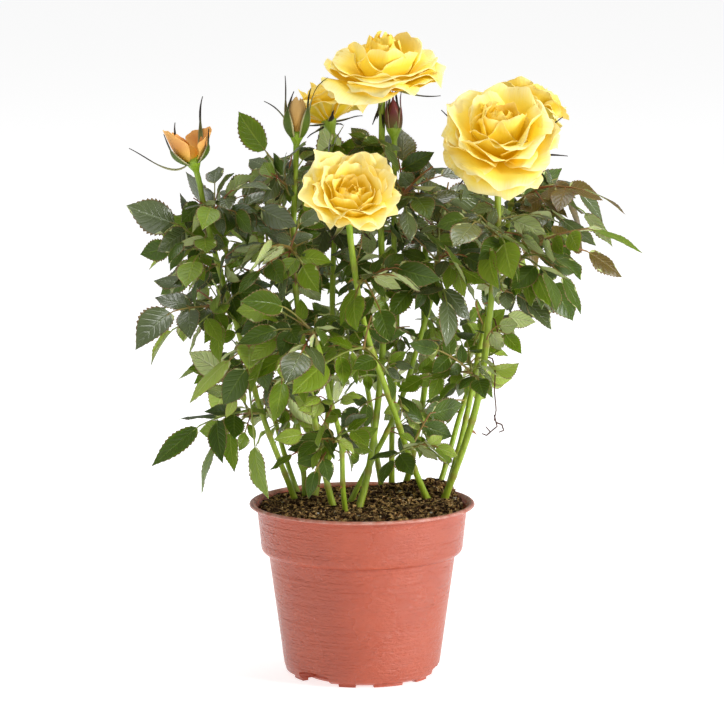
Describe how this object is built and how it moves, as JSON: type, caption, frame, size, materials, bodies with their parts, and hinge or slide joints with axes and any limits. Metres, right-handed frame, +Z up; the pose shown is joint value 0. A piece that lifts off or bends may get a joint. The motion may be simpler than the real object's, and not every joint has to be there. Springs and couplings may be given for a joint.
{
  "type": "potted rose bush",
  "caption": "Miniature rose bush in a round nursery pot: slender green canes from the soil, compound leaves, open double yellow blooms and pointed buds with long sepals.",
  "frame": {"origin": "centre of the flat underside of the pot", "axes": "+Z up the pot's axis, -Y towards the side that the front blooms face, +X to the right seen from there"},
  "size_m": [0.2686, 0.2079, 0.344],
  "materials": {
    "pot_plastic": "satin terracotta-coloured polypropylene",
    "potting_soil": "moist crumbly peat",
    "green_cane": "smooth green bark",
    "rose_leaf": "semi-gloss leaf",
    "yellow_petal": "soft petal",
    "bud": "soft petal and green sepal"
  },
  "bodies": {
    "root": {"bloom_front": "yellow_petal", "bloom_left_back": "yellow_petal", "bloom_right": "yellow_petal", "bloom_right_back": "yellow_petal", "bloom_top": "yellow_petal", "bud_closed": "bud", "bud_left": "bud", "bud_mid": "bud", "cane_back_centre": "green_cane", "cane_back_leafy": "green_cane", "cane_back_left": "green_cane", "cane_back_right": "green_cane", "cane_centre_front": "green_cane", "cane_centre_right": "green_cane", "cane_closed_bud": "green_cane", "cane_far_right": "green_cane", "cane_front": "green_cane", "cane_left_back": "green_cane", "cane_left_bud": "green_cane", "cane_left_leafy": "green_cane", "cane_mid_bud": "green_cane", "cane_right": "green_cane", "cane_top": "green_cane", "leaves_back_centre": "rose_leaf", "leaves_back_inner": "rose_leaf", "leaves_back_left": "rose_leaf", "leaves_back_left_low": "rose_leaf", "leaves_back_low": "rose_leaf", "leaves_back_right": "rose_leaf", "leaves_back_right_low": "rose_leaf", "leaves_behind_front": "rose_leaf", "leaves_centre_back": "rose_leaf", "leaves_centre_front": "rose_leaf", "leaves_centre_high": "rose_leaf", "leaves_centre_low": "rose_leaf", "leaves_foot_left": "rose_leaf", "leaves_front_foot": "rose_leaf", "leaves_front_left": "rose_leaf", "leaves_left_hanging": "rose_leaf", "leaves_left_high": "rose_leaf", "leaves_left_inner": "rose_leaf", "leaves_left_low": "rose_leaf", "leaves_left_mid": "rose_leaf", "leaves_left_pale": "rose_leaf", "leaves_mid_left": "rose_leaf", "leaves_right_front": "rose_leaf", "leaves_right_high": "rose_leaf", "leaves_right_inner": "rose_leaf", "leaves_right_low": "rose_leaf", "leaves_right_mid": "rose_leaf", "leaves_right_sparse": "rose_leaf", "leaves_top_centre": "rose_leaf", "leaves_top_left": "rose_leaf", "leaves_top_right": "rose_leaf", "pot": "pot_plastic", "soil": "potting_soil"}
  },
  "joints": []
}
